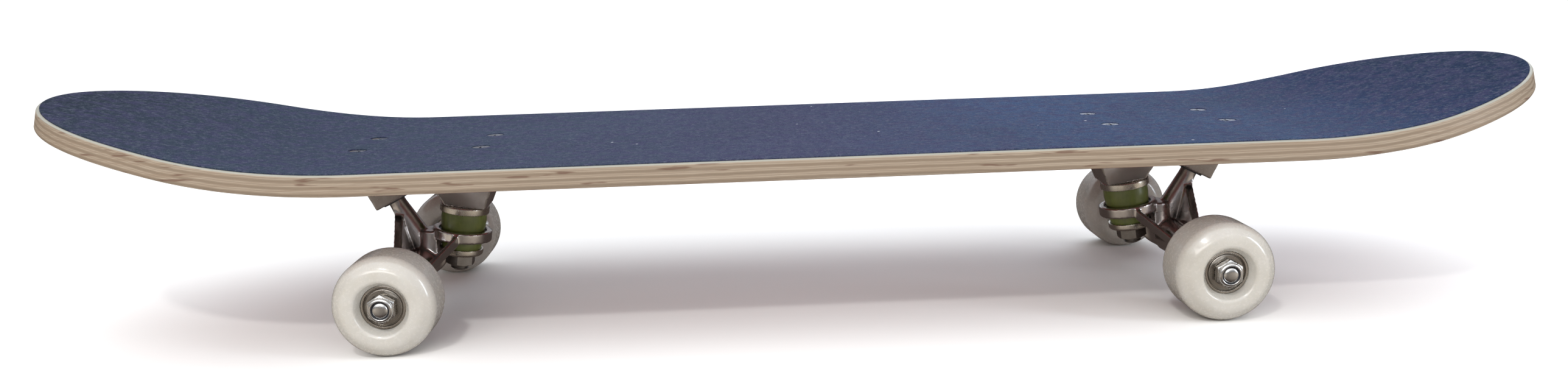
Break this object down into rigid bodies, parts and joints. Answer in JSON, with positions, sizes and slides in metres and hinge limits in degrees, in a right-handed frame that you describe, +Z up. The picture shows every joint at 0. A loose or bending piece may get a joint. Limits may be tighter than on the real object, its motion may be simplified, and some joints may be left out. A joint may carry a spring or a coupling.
{
  "type": "skateboard",
  "caption": "Street skateboard with a bent plywood double-kick deck, grip sheet, polished steering trucks and white urethane wheels on ball bearings.",
  "frame": {"origin": "on the ground under the middle of the deck, at the centre of the bounding box", "axes": "+X towards the tail, -X towards the nose, +Y to the board's right side, +Z up"},
  "size_m": [0.7938, 0.1968, 0.1239],
  "materials": {
    "grip": "coarse grit, matte",
    "maple_pale": "sanded, clear sealed",
    "maple_tan": "sanded, clear sealed",
    "maple_stained": "stained and lacquered",
    "truck_aluminium": "polished casting",
    "pivot_urethane": "satin",
    "dark_steel": "oiled",
    "zinc_steel": "zinc plated",
    "cup_washer": "nickel plated",
    "bushing_urethane": "translucent satin",
    "nylon_insert": "satin",
    "bolt_steel": "zinc plated",
    "wheel_urethane": "glossy cast urethane",
    "bearing_steel": "ground",
    "ball_steel": "polished",
    "shield_steel": "pressed"
  },
  "bodies": {
    "deck": {"grip_tape": "grip", "ply_1": "maple_stained", "ply_2": "maple_tan", "ply_3": "maple_pale", "ply_4": "maple_tan", "ply_5": "maple_pale", "ply_6": "maple_tan", "ply_7": "maple_pale", "nose_baseplate": "truck_aluminium", "nose_pivot_cup": "pivot_urethane", "nose_kingpin": "dark_steel", "nose_top_cup_washer": "cup_washer", "nose_board_side_bushing": "bushing_urethane", "nose_road_side_bushing": "bushing_urethane", "nose_bottom_cup_washer": "cup_washer", "nose_kingpin_nut": "dark_steel", "nose_mounting_bolts": "bolt_steel", "nose_mounting_nuts": "zinc_steel", "tail_baseplate": "truck_aluminium", "tail_pivot_cup": "pivot_urethane", "tail_kingpin": "dark_steel", "tail_top_cup_washer": "cup_washer", "tail_board_side_bushing": "bushing_urethane", "tail_road_side_bushing": "bushing_urethane", "tail_bottom_cup_washer": "cup_washer", "tail_kingpin_nut": "dark_steel", "tail_mounting_bolts": "bolt_steel", "tail_mounting_nuts": "zinc_steel"},
    "nose_truck": {"nose_hanger": "truck_aluminium", "nose_axle": "zinc_steel", "nose_axle_washers": "zinc_steel", "nose_axle_nuts": "zinc_steel", "nose_axle_nut_inserts": "nylon_insert", "nose_left_inner_races": "bearing_steel", "nose_right_inner_races": "bearing_steel"},
    "nose_left_wheel": {"nose_left_wheel": "wheel_urethane", "nose_left_outer_races": "bearing_steel", "nose_left_shields": "shield_steel"},
    "nose_left_ball_sets": {"nose_left_balls": "ball_steel"},
    "nose_right_wheel": {"nose_right_wheel": "wheel_urethane", "nose_right_outer_races": "bearing_steel", "nose_right_shields": "shield_steel"},
    "nose_right_ball_sets": {"nose_right_balls": "ball_steel"},
    "tail_truck": {"tail_hanger": "truck_aluminium", "tail_axle": "zinc_steel", "tail_axle_washers": "zinc_steel", "tail_axle_nuts": "zinc_steel", "tail_axle_nut_inserts": "nylon_insert", "tail_left_inner_races": "bearing_steel", "tail_right_inner_races": "bearing_steel"},
    "tail_left_wheel": {"tail_left_wheel": "wheel_urethane", "tail_left_outer_races": "bearing_steel", "tail_left_shields": "shield_steel"},
    "tail_left_ball_sets": {"tail_left_balls": "ball_steel"},
    "tail_right_wheel": {"tail_right_wheel": "wheel_urethane", "tail_right_outer_races": "bearing_steel", "tail_right_shields": "shield_steel"},
    "tail_right_ball_sets": {"tail_right_balls": "ball_steel"}
  },
  "joints": [
    {"name": "nose_steer", "type": "hinge", "parent": "deck", "child": "nose_truck", "pos_m": [-0.1874, 0, 0.0402], "axis": [0.8127, 0, -0.5827], "range_deg": [-12, 12], "stiffness_Nm_per_rad": 12, "deforming": ["nose_board_side_bushing", "nose_road_side_bushing"]},
    {"name": "nose_left_spin", "type": "hinge", "parent": "nose_truck", "child": "nose_left_wheel", "pos_m": [-0.2081, -0.079, 0.025], "axis": [0, 1, 0], "continuous": true},
    {"name": "nose_left_balls_roll", "type": "hinge", "parent": "nose_truck", "child": "nose_left_ball_sets", "pos_m": [-0.2081, -0.079, 0.025], "axis": [0, 1, 0], "continuous": true},
    {"name": "nose_right_spin", "type": "hinge", "parent": "nose_truck", "child": "nose_right_wheel", "pos_m": [-0.2081, 0.079, 0.025], "axis": [0, 1, 0], "continuous": true},
    {"name": "nose_right_balls_roll", "type": "hinge", "parent": "nose_truck", "child": "nose_right_ball_sets", "pos_m": [-0.2081, 0.079, 0.025], "axis": [0, 1, 0], "continuous": true},
    {"name": "tail_steer", "type": "hinge", "parent": "deck", "child": "tail_truck", "pos_m": [0.1838, 0, 0.0402], "axis": [-0.8127, 0, -0.5827], "range_deg": [-12, 12], "stiffness_Nm_per_rad": 12, "deforming": ["tail_board_side_bushing", "tail_road_side_bushing"]},
    {"name": "tail_left_spin", "type": "hinge", "parent": "tail_truck", "child": "tail_left_wheel", "pos_m": [0.2045, -0.079, 0.025], "axis": [0, 1, 0], "continuous": true},
    {"name": "tail_left_balls_roll", "type": "hinge", "parent": "tail_truck", "child": "tail_left_ball_sets", "pos_m": [0.2045, -0.079, 0.025], "axis": [0, 1, 0], "continuous": true},
    {"name": "tail_right_spin", "type": "hinge", "parent": "tail_truck", "child": "tail_right_wheel", "pos_m": [0.2045, 0.079, 0.025], "axis": [0, 1, 0], "continuous": true},
    {"name": "tail_right_balls_roll", "type": "hinge", "parent": "tail_truck", "child": "tail_right_ball_sets", "pos_m": [0.2045, 0.079, 0.025], "axis": [0, 1, 0], "continuous": true}
  ],
  "couplings": [
    {"joint": "nose_left_balls_roll", "follows": "nose_left_spin", "ratio": 0.6286},
    {"joint": "nose_right_balls_roll", "follows": "nose_right_spin", "ratio": 0.6286},
    {"joint": "tail_left_balls_roll", "follows": "tail_left_spin", "ratio": 0.6286},
    {"joint": "tail_right_balls_roll", "follows": "tail_right_spin", "ratio": 0.6286}
  ]
}
